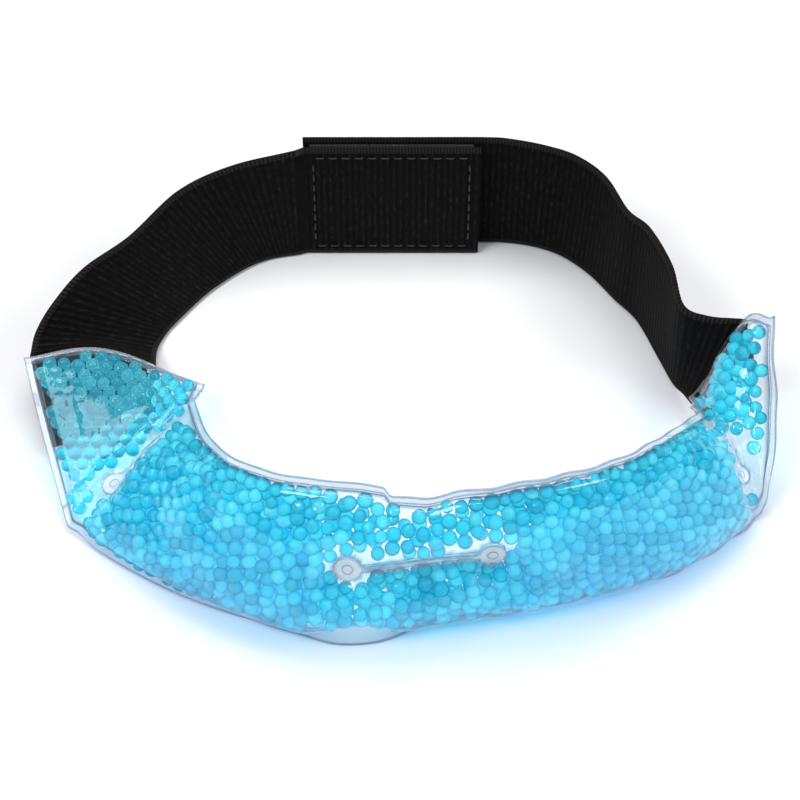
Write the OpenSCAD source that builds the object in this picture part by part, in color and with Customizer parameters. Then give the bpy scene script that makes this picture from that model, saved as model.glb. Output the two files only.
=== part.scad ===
// Gel-bead eye pillow: a clear film pouch of gel beads on an elastic head strap.
// It lies open as a ring: the pouch stands on its lower edge at the front (-Y), its
// ends lean outwards, and the strap stands at the back with a hook-and-loop closure.
// Millimetres, +Z up, origin on the floor at the middle of the ring's footprint.

/* [Pouch] */
// Thickness of each film sheet
film_t = 0.4; // [0.3:0.1:0.6]
// Width of the heat-sealed rim, as a share of the pouch's width
rim_share = 0.075; // [0.05:0.005:0.1]
// How far the main chamber's front sheet stands out
front_bulge = 8.5; // [5:0.5:10]
// How far the main chamber's back sheet stands out
back_bulge = 6.5; // [4:0.5:8]
// How far the end chambers' front sheets stand out
end_bulge = 6; // [4:0.5:7]
// How far the end chambers' back sheets stand out
end_back_bulge = 2; // [1:0.5:3]
// How far the left end bows out past a straight cut
left_bow = 14; // [8:1:15]
// How far the right end bows out past a straight cut
right_bow = 12; // [8:1:14]

/* [Strap] */
// Width of the elastic webbing
strap_w = 40; // [38:1:40]
// Thickness of the elastic webbing
strap_t = 1.6; // [1.2:0.1:1.8]
// Length of the two straps' overlap at the closure
overlap_l = 53; // [45:1:53]
// Thickness of the hook patch and of the loop patch
patch_t = 1.5; // [1:0.1:1.6]
// Room between the webbing and the patch edge
patch_margin = 2; // [1:0.5:3]

/* [Stitching] */
// Length of one stitch
stitch_l = 2.4; // [1.5:0.1:3]
// Thickness of the thread
thread_d = 0.4; // [0.3:0.1:0.5]
// Distance from one stitch to the next
stitch_pitch = 3.6; // [3:0.1:5]

/* [Detail] */
// Rows of points along the main chamber
main_rows = 40; // [24:1:44]
// Points across the pouch
across = 12; // [8:2:14]

/* [Hidden] */

// The ring's footprint is centred on the origin by this shift.
centre = [2.4, 11.45, 0.2];
// Room between layers that are joined, and between layers that lie loosely together.
clear = 0.02;
loose = 0.3;
// Room where a strap turns at its end chamber's edge.
seam_gap = 2;
// Distance of the anchor seam from the pouch's cut end.
seam_in = 1.4;
// Distance between an end chamber's stations, and the pouch's flat width.
station_l = 26;
pouch_w = 51;
// How far each anchor reaches under its end chamber.
left_anchor_l = 30;
right_anchor_l = 10;
// Where the bow of each cut end is greatest: under 1 is towards the outer edge.
left_skew = 1.3;
right_skew = 0.8;
// How much the bow gathers to a corner: 1 is round.
left_corner = 1;
right_corner = 2.2;
// Rows of points along an end chamber, and the beads' share of its depth.
end_rows = 14;
bead_fill = 0.8;
// The closure's left end, the depth of its two layers and their backward lean.
tab_x = -29;
tab_y = 67;
flap_y = 72.2;
closure_lean = 1.15;
// Distance of a patch's stitches from its edge.
stitch_inset = 1.2;

film_colour = [0.80, 0.90, 0.96, 0.35];
gel_colour = [0.20, 0.75, 0.93];
strap_colour = [0.07, 0.06, 0.06];
hook_colour = [0.12, 0.11, 0.11];
thread_colour = [0.16, 0.13, 0.11];

// Each station of the pouch is its outer or lower edge, then its inner or upper edge.
// The left end chamber runs from its cut end to the left fold.
LEFT_END = [
  [[-106, 2, 14], [-55, -4, 9]],
  [[-99, -21, 9], [-56, -9, 11]],
  [[-89, -51, 1.2], [-57, -15, 14]]
];
// The main chamber runs from the left fold to the right fold.
MAIN = [
  [[-86, -53, 1], [-56, -18, 16]],
  [[-79, -60, 0.5], [-52, -38, 26]],
  [[-63, -71, 0.2], [-47, -54, 35]],
  [[-47, -79, 0], [-40, -68, 43]],
  [[-30, -86, 0], [-29, -78, 48]],
  [[-11, -91, 0], [-10, -82, 49]],
  [[10, -84, 0], [8, -83, 47]],
  [[34, -79, 0], [28, -83, 50]],
  [[57, -72, 0], [46, -77, 49]],
  [[76, -64, 0], [61, -64, 44]],
  [[90, -53, 0], [71, -49, 36]],
  [[97, -46, 1], [78, -32, 24]]
];
// The right end chamber runs from the right fold to its cut end.
RIGHT_END = [
  [[99, -43, 4], [80, -28, 21]],
  [[101, -32, 18], [82, -17, 11]],
  [[100, -12, 42], [82, -6, 2.5]]
];
// Each station of the webbing is its upper or outer edge, then its lower or inner edge.
LEFT_WEB = [
  [[-105, 4, 12], [-71, 10, 7]],
  [[-103, 9, 18], [-71, 20, 1.8]],
  [[-98, 15, 24], [-69, 28, 0.7]],
  [[-90, 24, 29], [-66, 34, 0.6]],
  [[-78, 36, 31], [-58, 47, 0.5]],
  [[-65, 52, 35], [-48, 58, 0.4]],
  [[-50, 60, 38], [-40, 63.6, 0.2]],
  [[-31, 65, 40], [-31, 66, 0.2]]
];
RIGHT_WEB = [
  [[-29, 71.4, 40.2], [-29, 72.2, 0.2]],
  [[0, 71.4, 40.2], [0, 72.2, 0.2]],
  [[25, 71.4, 40.2], [25, 72.2, 0.2]],
  [[33, 70.8, 40], [33, 71.8, 0.2]],
  [[43, 68.3, 39.5], [42, 69.6, 0.2]],
  [[52, 64, 39], [50, 65, 0.2]],
  [[60, 56, 37.5], [58, 56, 0.2]],
  [[65.5, 42, 36], [65, 44, 0.2]],
  [[71, 33, 36.5], [71, 34, 0.2]],
  [[75.5, 16, 37], [76, 17, 0.2]],
  [[78, 4, 32.5], [79, 6, 0.6]],
  [[85, 2, 30], [81, 1, 1.5]],
  [[93, 1, 31.5], [82, -3, 1.8]]
];

// ---- curves and sheets -------------------------------------------------------

function mix(a, b, t) = a + (b - a) * t;
function clip(x, low, high) = min(max(x, low), high);

// A smooth curve through list p at place t, where t counts the list's points.
function knot(p, i) =
  i < 0 ? 2 * p[0] - p[1] :
  i >= len(p) ? 2 * p[len(p) - 1] - p[len(p) - 2] : p[i];
function spline(p, t) =
  let (i = clip(floor(t), 0, len(p) - 2), f = t - i)
  let (a = knot(p, i - 1), b = knot(p, i), c = knot(p, i + 1), d = knot(p, i + 2))
  0.5 * (2 * b + (c - a) * f + (2 * a - 5 * b + 4 * c - d) * f * f
    + (3 * b - a - 3 * c + d) * f * f * f);
function edge(stations, side) = [for (s = stations) s[side] + centre];

// Point of a ruled band at place t along it and share v across it.
function band(stations, t, v) =
  mix(spline(edge(stations, 0), t), spline(edge(stations, 1), t), v);
function unit(v) = v / norm(v);
function facing(stations, t, v) = unit(cross(
  band(stations, t + 0.05, v) - band(stations, t - 0.05, v),
  band(stations, t, 1) - band(stations, t, 0)));
function lifted(stations, t, v, height) =
  band(stations, t, v) + facing(stations, t, v) * height;

// Closed solid between two grids of points, which have the same rows and columns.
module slab(under, over) {
  rows = len(under);
  cols = len(under[0]);
  count = rows * cols;
  points = concat([for (r = under) each r], [for (r = over) each r]);
  function at(i, j, level) = level * count + i * cols + j;
  skins = [for (i = [0:rows - 2], j = [0:cols - 2]) each [
    [at(i, j, 1), at(i, j + 1, 1), at(i + 1, j, 1)],
    [at(i + 1, j, 1), at(i, j + 1, 1), at(i + 1, j + 1, 1)],
    [at(i, j, 0), at(i + 1, j, 0), at(i, j + 1, 0)],
    [at(i + 1, j, 0), at(i + 1, j + 1, 0), at(i, j + 1, 0)]
  ]];
  long_walls = [for (i = [0:rows - 2]) each [
    [at(i, 0, 0), at(i, 0, 1), at(i + 1, 0, 0)],
    [at(i + 1, 0, 0), at(i, 0, 1), at(i + 1, 0, 1)],
    [at(i, cols - 1, 0), at(i + 1, cols - 1, 0), at(i, cols - 1, 1)],
    [at(i + 1, cols - 1, 0), at(i + 1, cols - 1, 1), at(i, cols - 1, 1)]
  ]];
  end_walls = [for (j = [0:cols - 2]) each [
    [at(0, j, 0), at(0, j + 1, 0), at(0, j, 1)],
    [at(0, j + 1, 0), at(0, j + 1, 1), at(0, j, 1)],
    [at(rows - 1, j, 0), at(rows - 1, j, 1), at(rows - 1, j + 1, 0)],
    [at(rows - 1, j + 1, 0), at(rows - 1, j, 1), at(rows - 1, j + 1, 1)]
  ]];
  polyhedron(points = points, faces = concat(skins, long_walls, end_walls), convexity = 6);
}

// ---- the pouch ---------------------------------------------------------------

// Shares across the pouch: the rim, then points that crowd towards its two seals.
ACROSS = concat(
  [0],
  [for (j = [0:across]) rim_share + (1 - 2 * rim_share) * (1 - cos(180 * j / across)) / 2],
  [1]);

// A full arch from one seal (0) to the other (1), heavier on the lower side.
function arch(x) = let (s = pow(clip(x, 0, 1), 0.85)) pow(4 * s * (1 - s), 0.6);
function across_arch(v) = arch((v - rim_share) / (1 - 2 * rim_share));
// Shares along a chamber of n rows, which crowd towards both ends.
function along(n) = [for (i = [0:n]) (1 - cos(180 * i / n)) / 2];

// Sheet rows: place along the stations, and how full the chamber is there.
function main_row(k) = [k * (len(MAIN) - 1), mix(0.22, 1, pow(sin(180 * k), 0.35))];
function end_row(k, fold_at_1) =
  let (x = fold_at_1 ? k : 1 - k)
  [k * 2, x < 0.1 ? 0 : mix(0.22, 1, pow(sin(180 * (x - 0.1) / 0.9), 0.6)) * (x > 0.12 ? 1 : 0.6)];

// Each cut end bows outwards: its rows reach further out towards the middle, most at
// the share across the pouch that the skew sets.
function bow_share(v, skew, corner) = pow(max(sin(180 * pow(v, skew)), 0), corner);
function left_place(t, v) =
  t - left_bow / station_l * bow_share(v, left_skew, left_corner) * clip(1 - t, 0, 1);
function right_place(t, v) =
  t + right_bow / station_l * bow_share(v, right_skew, right_corner) * clip(t - 1, 0, 1);

function place(side, t, v) =
  side < 0 ? left_place(t, v) : side > 0 ? right_place(t, v) : t;
// A grid over the pouch: the bulge fills each row's share of height, plus an offset.
function sheet(stations, rows, side, shares, height, offset = 0) = [
  for (r = rows) [
    for (v = shares)
      lifted(stations, place(side, r[0], v), v, height * across_arch(v) * r[1] + offset)
  ]
];

main_list = [for (k = along(main_rows)) main_row(k)];
left_list = [for (k = along(end_rows)) end_row(k, true)];
right_list = [for (k = along(end_rows)) end_row(k, false)];

module front_sheet(stations, rows, side, height) {
  color(film_colour) slab(
    sheet(stations, rows, side, ACROSS, height, clear),
    sheet(stations, rows, side, ACROSS, height, film_t));
}
module back_sheet(stations, rows, side, height) {
  color(film_colour) slab(
    sheet(stations, rows, side, ACROSS, -height, -film_t),
    sheet(stations, rows, side, ACROSS, -height, -clear));
}
// Gel beads fill a chamber to just under both sheets.
module beads(stations, rows, side, front, back) {
  filled = [for (r = rows) if (r[1] > 0.15) r];
  inside = [for (j = [2:len(ACROSS) - 3]) ACROSS[j]];
  color(gel_colour) slab(
    sheet(stations, filled, side, inside, -bead_fill * back),
    sheet(stations, filled, side, inside, bead_fill * front));
}

module front_film() front_sheet(MAIN, main_list, 0, front_bulge);
module back_film() back_sheet(MAIN, main_list, 0, back_bulge);
module gel_beads() beads(MAIN, main_list, 0, front_bulge, back_bulge);
module left_front_film() front_sheet(LEFT_END, left_list, -1, end_bulge);
module left_back_film() back_sheet(LEFT_END, left_list, -1, end_back_bulge);
module left_gel_beads() beads(LEFT_END, left_list, -1, end_bulge, end_back_bulge);
module right_front_film() front_sheet(RIGHT_END, right_list, 1, end_bulge);
module right_back_film() back_sheet(RIGHT_END, right_list, 1, end_back_bulge);
module right_gel_beads() beads(RIGHT_END, right_list, 1, end_bulge, end_back_bulge);

// ---- the webbing -------------------------------------------------------------

// The share of the pouch's width that the webbing covers at each end.
LEFT_SHARES = [for (i = [0:4]) mix(0.04, 0.74, i / 4)];
RIGHT_SHARES = [for (i = [0:4]) mix(0.36, 0.98, i / 4)];
// Rows of an end chamber that an anchor lies under, from the cut end inwards.
left_under = [for (r = left_list) if (r[0] < left_anchor_l / station_l) r];
right_under = [for (r = right_list) if (r[0] > 2 - right_anchor_l / station_l) r];

// The end of the webbing, which lies flat behind an end chamber.
module anchor(stations, rows, side, shares) {
  function skin(depth) = [
    for (r = rows) [
      for (v = shares)
        lifted(stations, place(side, r[0], v), v, -film_t - loose - depth - end_back_bulge * r[1])
    ]
  ];
  color(strap_colour) slab(skin(strap_t), skin(0));
}
module left_anchor() anchor(LEFT_END, left_under, -1, LEFT_SHARES);
module right_anchor() anchor(RIGHT_END, right_under, 1, RIGHT_SHARES);

// One row of stitches through the pouch's flange, on the face of its front sheet.
module seam(stations, side, t, shares, count) {
  half_t = thread_d / 2 / station_l;
  for (i = [0:count - 1]) {
    v = mix(shares[0], shares[4], (i + 0.5) / count);
    half_v = stitch_l / 2 / pouch_w;
    color(thread_colour) slab(
      [for (x = [t - half_t, t + half_t]) [for (y = [v - half_v, v + half_v])
        lifted(stations, place(side, x, y), y, film_t + clear * 4)]],
      [for (x = [t - half_t, t + half_t]) [for (y = [v - half_v, v + half_v])
        lifted(stations, place(side, x, y), y, film_t + clear * 4 + thread_d)]]);
  }
}
module left_anchor_stitches() seam(LEFT_END, -1, seam_in / station_l, LEFT_SHARES, 10);
module right_anchor_stitches() seam(RIGHT_END, 1, 2 - seam_in / station_l, RIGHT_SHARES, 10);

// A strap leaves its end chamber a seam's gap past the cut end, which it follows.
function left_start(v) = let (y = mix(LEFT_SHARES[0], LEFT_SHARES[4], v))
  lifted(LEFT_END, left_place(0, y) - seam_gap / station_l, y, -film_t - loose - strap_t / 2);
function right_start(v) = let (y = mix(RIGHT_SHARES[0], RIGHT_SHARES[4], v))
  lifted(RIGHT_END, right_place(2, y) + seam_gap / station_l, y, -film_t - loose - strap_t / 2);
// The webbing's middle surface, drawn to that line over its first stretch.
function drawn(away) = pow(clip(1 - away / 1.5, 0, 1), 2);
function left_point(t, v) =
  band(LEFT_WEB, t, v) + (left_start(v) - band(LEFT_WEB, 0, v)) * drawn(t);
function right_point(t, v) =
  let (last = len(RIGHT_WEB) - 1)
  band(RIGHT_WEB, t, v) + (right_start(v) - band(RIGHT_WEB, last, v)) * drawn(last - t);

// Solid of the webbing's thickness around a surface point(t, v).
module webbing(point, t0, t1, rows) {
  function out(t, v) = unit(cross(point(t + 0.02, v) - point(t - 0.02, v), point(t, 1) - point(t, 0)));
  function skin(height) = [
    for (i = [0:rows]) let (t = mix(t0, t1, i / rows)) [
      for (j = [0:4]) point(t, j / 4) + out(t, j / 4) * height
    ]
  ];
  color(strap_colour) slab(skin(-strap_t / 2), skin(strap_t / 2));
}
module left_strap() webbing(function (t, v) left_point(t, v), 0, len(LEFT_WEB) - 1, 36);
module right_strap() webbing(function (t, v) right_point(t, v), 0, len(RIGHT_WEB) - 1, 50);

// ---- the hook-and-loop closure -----------------------------------------------

// Puts its children in a closure layer: x along the strap, y its depth, z up.
module layer(y) {
  translate(centre + [tab_x, y, 0.2]) rotate([closure_lean, 0, 0]) children();
}
module patch() {
  translate([patch_margin, 0, patch_margin])
    cube([overlap_l - 2 * patch_margin, patch_t, strap_w - 2 * patch_margin]);
}
// Stitches round a patch's edge, on the face of the webbing at depth y.
module patch_stitches(y) {
  inset = patch_margin + stitch_inset;
  long = overlap_l - 2 * inset;
  high = strap_w - 2 * inset;
  across_count = floor(long / stitch_pitch);
  up_count = floor(high / stitch_pitch) - 1;
  for (i = [0:across_count - 1], z = [inset, strap_w - inset])
    translate([inset + (i + 0.5) * long / across_count - stitch_l / 2, y, z - thread_d / 2])
      cube([stitch_l, thread_d, thread_d]);
  for (i = [0:up_count - 1], x = [inset, overlap_l - inset])
    translate([x - thread_d / 2, y, inset + (i + 1) * high / (up_count + 1) - stitch_l / 2])
      cube([thread_d, thread_d, stitch_l]);
}

module closure_tab() color(strap_colour) layer(tab_y)
  translate([0, -strap_t / 2, 0]) cube([overlap_l, strap_t, strap_w]);
module hook_patch() color(hook_colour) layer(tab_y)
  translate([0, strap_t / 2 + clear, 0]) patch();
module hook_stitches() color(thread_colour) layer(tab_y)
  patch_stitches(-strap_t / 2 - clear - thread_d);
module loop_patch() color(hook_colour) layer(flap_y)
  translate([0, -strap_t / 2 - clear - patch_t, 0]) patch();
module loop_stitches() color(thread_colour) layer(flap_y)
  patch_stitches(strap_t / 2 + clear * 6);

front_film();
back_film();
gel_beads();
left_front_film();
left_back_film();
left_gel_beads();
right_front_film();
right_back_film();
right_gel_beads();
left_anchor();
left_anchor_stitches();
left_strap();
closure_tab();
hook_patch();
hook_stitches();
right_anchor();
right_anchor_stitches();
right_strap();
loop_patch();
loop_stitches();
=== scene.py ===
"""Gel-bead eye pillow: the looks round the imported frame. Metres, +Z up, the frame's axes."""

import math

import bpy
import numpy as np
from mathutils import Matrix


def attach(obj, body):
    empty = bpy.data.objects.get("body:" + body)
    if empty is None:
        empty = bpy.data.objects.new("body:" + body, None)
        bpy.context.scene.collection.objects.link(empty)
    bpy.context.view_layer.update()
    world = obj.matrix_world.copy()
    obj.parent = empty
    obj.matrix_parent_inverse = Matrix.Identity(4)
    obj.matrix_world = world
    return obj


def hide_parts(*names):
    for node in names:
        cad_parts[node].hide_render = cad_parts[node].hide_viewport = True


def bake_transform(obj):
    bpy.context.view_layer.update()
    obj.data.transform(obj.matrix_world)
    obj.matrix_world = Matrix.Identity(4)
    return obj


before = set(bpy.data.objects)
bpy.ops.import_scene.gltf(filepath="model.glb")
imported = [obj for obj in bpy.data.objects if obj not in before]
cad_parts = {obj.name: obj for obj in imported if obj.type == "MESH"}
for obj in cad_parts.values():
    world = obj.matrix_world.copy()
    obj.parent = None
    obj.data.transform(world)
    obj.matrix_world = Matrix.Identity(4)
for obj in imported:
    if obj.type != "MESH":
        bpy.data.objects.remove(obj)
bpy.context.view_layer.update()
MM = 0.001

# ---- the design's own stations, in millimetres -----------------------------------------

CENTRE = (2.4, 11.45, 0.2)


def stations(points):
    """Pairs of edge points as the frame has them, in metres: shape (n, 2, 3)."""
    return (np.array(points, float) + CENTRE) * MM


# Each station of the pouch is its outer or lower edge, then its inner or upper edge.
LEFT_END = stations([
    [[-106, 2, 14], [-55, -4, 9]],
    [[-99, -21, 9], [-56, -9, 11]],
    [[-89, -51, 1.2], [-57, -15, 14]],
])
MAIN = stations([
    [[-86, -53, 1], [-56, -18, 16]],
    [[-79, -60, 0.5], [-52, -38, 26]],
    [[-63, -71, 0.2], [-47, -54, 35]],
    [[-47, -79, 0], [-40, -68, 43]],
    [[-30, -86, 0], [-29, -78, 48]],
    [[-11, -91, 0], [-10, -82, 49]],
    [[10, -84, 0], [8, -83, 47]],
    [[34, -79, 0], [28, -83, 50]],
    [[57, -72, 0], [46, -77, 49]],
    [[76, -64, 0], [61, -64, 44]],
    [[90, -53, 0], [71, -49, 36]],
    [[97, -46, 1], [78, -32, 24]],
])
RIGHT_END = stations([
    [[99, -43, 4], [80, -28, 21]],
    [[101, -32, 18], [82, -17, 11]],
    [[100, -12, 42], [82, -6, 2.5]],
])
# Each station of the webbing is its upper or outer edge, then its lower or inner edge.
LEFT_WEB = stations([
    [[-105, 4, 12], [-71, 10, 7]],
    [[-103, 9, 18], [-71, 20, 1.8]],
    [[-98, 15, 24], [-69, 28, 0.7]],
    [[-90, 24, 29], [-66, 34, 0.6]],
    [[-78, 36, 31], [-58, 47, 0.5]],
    [[-65, 52, 35], [-48, 58, 0.4]],
    [[-50, 60, 38], [-40, 63.6, 0.2]],
    [[-31, 65, 40], [-31, 66, 0.2]],
])
RIGHT_WEB = stations([
    [[-29, 71.4, 40.2], [-29, 72.2, 0.2]],
    [[0, 71.4, 40.2], [0, 72.2, 0.2]],
    [[25, 71.4, 40.2], [25, 72.2, 0.2]],
    [[33, 70.8, 40], [33, 71.8, 0.2]],
    [[43, 68.3, 39.5], [42, 69.6, 0.2]],
    [[52, 64, 39], [50, 65, 0.2]],
    [[60, 56, 37.5], [58, 56, 0.2]],
    [[65.5, 42, 36], [65, 44, 0.2]],
    [[71, 33, 36.5], [71, 34, 0.2]],
    [[75.5, 16, 37], [76, 17, 0.2]],
    [[78, 4, 32.5], [79, 6, 0.6]],
    [[85, 2, 30], [81, 1, 1.5]],
    [[93, 1, 31.5], [82, -3, 1.8]],
])

# ---- arithmetic on arrays of points ----------------------------------------------------


def unit(vectors):
    return vectors / np.maximum(np.linalg.norm(vectors, axis=-1, keepdims=True), 1e-12)


def mix(a, b, share):
    return a + (b - a) * share


def ease(x, low=0.0, high=1.0):
    """0 below low, 1 above high, and a smooth step between."""
    x = np.clip((x - low) / (high - low), 0, 1)
    return x * x * (3 - 2 * x)


def shoulder(x):
    """A quarter round: up steeply from 0 at a seal, and level at 1."""
    return np.sqrt(np.maximum(1 - (1 - np.clip(x, 0, 1)) ** 2, 0))


def bump(x, middle, half):
    """1 at the middle, down to 0 at half away."""
    return ease(1 - np.abs(x - middle) / half)


def run_along(path):
    """Length along a line of points, from 0 at its first point."""
    return np.concatenate([[0], np.cumsum(np.linalg.norm(np.diff(path, axis=0), axis=1))])


def spline(points, t):
    """A smooth curve through the points at place t, where t counts them."""
    first, last = 2 * points[0] - points[1], 2 * points[-1] - points[-2]
    ends = np.vstack([first, points, last])
    i = np.clip(np.floor(t).astype(int), 0, len(points) - 2)
    f = (t - i)[..., None]
    a, b, c, d = ends[i], ends[i + 1], ends[i + 2], ends[i + 3]
    return 0.5 * (
        2 * b + (c - a) * f + (2 * a - 5 * b + 4 * c - d) * f**2
        + (3 * b - a - 3 * c + d) * f**3
    )


def band(rails, t, v):
    """Point of a ruled band at place t along it and share v across it."""
    return mix(spline(rails[:, 0], t), spline(rails[:, 1], t), v[..., None])


def facing(rails, t, v):
    """The band's outward direction."""
    along = band(rails, t + 0.05, v) - band(rails, t - 0.05, v)
    across = spline(rails[:, 1], t) - spline(rails[:, 0], t)
    return unit(np.cross(along, across))


# ---- meshes ----------------------------------------------------------------------------

scene = bpy.context.scene


def mesh_object(name, points, faces, material, smooth=True):
    """An object from an array of points and an array of quads or triangles."""
    points = np.asarray(points, np.float32).reshape(-1, 3)
    faces = np.asarray(faces, np.int32)
    sides = faces.shape[1]
    mesh = bpy.data.meshes.new(name)
    mesh.vertices.add(len(points))
    mesh.vertices.foreach_set("co", points.ravel())
    mesh.loops.add(faces.size)
    mesh.loops.foreach_set("vertex_index", faces.ravel())
    mesh.polygons.add(len(faces))
    mesh.polygons.foreach_set("loop_start", np.arange(0, faces.size, sides, dtype=np.int32))
    mesh.polygons.foreach_set("use_smooth", np.full(len(faces), smooth))
    mesh.materials.append(material)
    mesh.update(calc_edges=True)
    mesh.validate()
    piece = bpy.data.objects.new(name, mesh)
    scene.collection.objects.link(piece)
    return piece


def store(piece, name, values, kind="FLOAT", field="value"):
    """Stores a number or a place for each point, which the material reads by that name."""
    attribute = piece.data.attributes.new(name, kind, "POINT")
    attribute.data.foreach_set(field, np.asarray(values, np.float32).ravel())


def slab_faces(rows, cols):
    """Quads of a closed slab: an under grid, then an over grid, of rows by cols points."""
    under, over = np.arange(2 * rows * cols).reshape(2, rows, cols)

    def quads(a, b, c, d):
        return np.stack([a.ravel(), b.ravel(), c.ravel(), d.ravel()], 1)

    def wall(low, high):
        return quads(low[:-1], low[1:], high[1:], high[:-1])

    return np.vstack([
        quads(over[:-1, :-1], over[1:, :-1], over[1:, 1:], over[:-1, 1:]),
        quads(under[:-1, :-1], under[:-1, 1:], under[1:, 1:], under[1:, :-1]),
        wall(under[:, 0], over[:, 0])[:, ::-1],
        wall(under[:, -1], over[:, -1]),
        wall(under[0], over[0]),
        wall(under[-1], over[-1])[:, ::-1],
    ])


def joined(parts):
    """One array of points and one of faces from a list of such pairs."""
    points, faces, start = [], [], 0
    for p, f in parts:
        points.append(p)
        faces.append(np.asarray(f) + start)
        start += len(p)
    return np.vstack(points), np.vstack(faces)


def ball(rings, sides):
    """Points and triangles of a unit ball with the given rings and sides."""
    points = [(0, 0, 1)]
    for i in range(1, rings):
        polar = math.pi * i / rings
        for j in range(sides):
            turn = 2 * math.pi * (j + 0.5 * (i % 2)) / sides
            points.append((
                math.sin(polar) * math.cos(turn),
                math.sin(polar) * math.sin(turn),
                math.cos(polar),
            ))
    points.append((0, 0, -1))
    faces = []
    last = len(points) - 1
    for j in range(sides):
        k = (j + 1) % sides
        faces.append((0, 1 + j, 1 + k))
        faces.append((last, last - sides + k, last - sides + j))
        for i in range(rings - 2):
            a, b = 1 + i * sides + j, 1 + i * sides + k
            faces.append((a, a + sides, b + sides))
            faces.append((a, b + sides, b))
    return np.array(points), np.array(faces)


def tube(path, radius, sides=6, cross=None):
    """Points and triangles of a closed round tube along a path, with rounded-off ends."""
    path = np.asarray(path, float)
    ahead = unit(np.gradient(path, axis=0))
    side = unit(np.cross(ahead, cross if cross is not None else (0.123, 0.456, 0.881)))
    other = np.cross(ahead, side)
    turn = np.linspace(0, 2 * math.pi, sides, endpoint=False)
    share = np.linspace(-1, 1, len(path))
    thick = radius * np.sqrt(np.maximum(1 - share**8 * 0.75, 0))
    ring = (
        side[:, None] * np.cos(turn)[None, :, None]
        + other[:, None] * np.sin(turn)[None, :, None]
    )
    points = (path[:, None] + ring * thick[:, None, None]).reshape(-1, 3)
    points = np.vstack([points, path[:1], path[-1:]])
    faces = []
    n = len(path)
    for j in range(sides):
        k = (j + 1) % sides
        faces.append((n * sides, k, j))
        faces.append((n * sides + 1, (n - 1) * sides + j, (n - 1) * sides + k))
        for i in range(n - 1):
            a, b = i * sides + j, i * sides + k
            faces.append((a, b, b + sides))
            faces.append((a, b + sides, a + sides))
    return points, np.array(faces)


# ---- materials -------------------------------------------------------------------------


def set_stops(ramp, stops):
    """Gives a colour ramp its places and colours."""
    while len(ramp.elements) < len(stops):
        ramp.elements.new(0.5)
    for element, (place, colour) in zip(ramp.elements, stops):
        element.position = place
        element.color = (*colour, 1)


class Nodes:
    """A short way to write a material's nodes."""

    def __init__(self, name):
        self.material = bpy.data.materials.new(name)
        self.material.use_nodes = True
        self.tree = self.material.node_tree
        self.tree.nodes.clear()
        self.output = self.tree.nodes.new("ShaderNodeOutputMaterial")

    def add(self, kind, **values):
        """A node with its sockets set to values, or linked to the sockets given."""
        node = self.tree.nodes.new("ShaderNode" + kind)
        for key, value in values.items():
            name = key.replace("_", " ")
            target = None
            for socket in node.inputs:
                if socket.name.lower() == name.lower() and socket.enabled:
                    target = socket
                    break
            if target is None:
                setattr(node, key, value)
            elif isinstance(value, bpy.types.NodeSocket):
                self.tree.links.new(value, target)
            else:
                target.default_value = value
        return node

    def math(self, operation, a, b=0.0, clamp=False):
        node = self.tree.nodes.new("ShaderNodeMath")
        node.operation = operation
        node.use_clamp = clamp
        for socket, value in zip(node.inputs, (a, b)):
            if isinstance(value, bpy.types.NodeSocket):
                self.tree.links.new(value, socket)
            else:
                socket.default_value = value
        return node.outputs[0]

    def ramp(self, factor, stops):
        node = self.tree.nodes.new("ShaderNodeValToRGB")
        self.tree.links.new(factor, node.inputs[0])
        set_stops(node.color_ramp, stops)
        return node.outputs[0]

    def noise(self, where, scale, detail=2.0, roughness=0.5):
        return self.add("TexNoise", Vector=where, Scale=scale, Detail=detail,
                        Roughness=roughness).outputs[0]

    def scaled(self, value, factor, plus):
        """The value times a factor, plus a number."""
        result = self.math("MULTIPLY_ADD", value, factor)
        result.node.inputs[2].default_value = plus
        return result

    def blend(self, factor, first, second):
        """A mix of two shaders."""
        node = self.tree.nodes.new("ShaderNodeMixShader")
        if isinstance(factor, bpy.types.NodeSocket):
            self.tree.links.new(factor, node.inputs[0])
        else:
            node.inputs[0].default_value = factor
        self.tree.links.new(first, node.inputs[1])
        self.tree.links.new(second, node.inputs[2])
        return node.outputs[0]

    def value(self, name, output="Fac"):
        """The number stored on the mesh by that name, or with Vector the place."""
        node = self.tree.nodes.new("ShaderNodeAttribute")
        node.attribute_name = name
        return node.outputs[output]

    def finish(self, shader):
        self.tree.links.new(shader, self.output.inputs["Surface"])
        return self.material


def film_material():
    """Clear glossy vinyl. The seal shade value is 1 on edges and embossed lines, where the film
    is tinted grey-blue as painted shade for the light those lines bend away; haze on welds.
    """
    n = Nodes("clear_film")
    seal, haze = n.value("seal"), n.value("haze")
    flecks = n.noise(n.add("NewGeometry").outputs["Position"], 900.0)
    relief = n.add("Bump", Strength=0.05, Distance=0.0002, Height=flecks)
    # Painted shade: the grey-blue tint on the film's edges and seal lines.
    tint = n.ramp(seal, [(0.0, (0.965, 0.985, 0.995)), (1.0, (0.50, 0.60, 0.70))])
    clear = n.add("BsdfTransparent", Color=tint)
    gloss = n.add("BsdfGlossy", Color=(1, 1, 1, 1), Roughness=0.045, Normal=relief.outputs[0])
    milk = n.add("BsdfDiffuse", Color=(0.88, 0.92, 0.96, 1))
    base = n.blend(n.scaled(haze, 0.42, 0.006), clear.outputs[0], milk.outputs[0])
    mirror = n.add("Fresnel", IOR=1.45, Normal=relief.outputs[0])
    outside = n.math("SUBTRACT", 1.0, n.add("NewGeometry").outputs["Backfacing"])
    share = n.math("MULTIPLY", mirror.outputs[0], outside)
    return n.finish(n.blend(share, base, gloss.outputs[0]))


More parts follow.
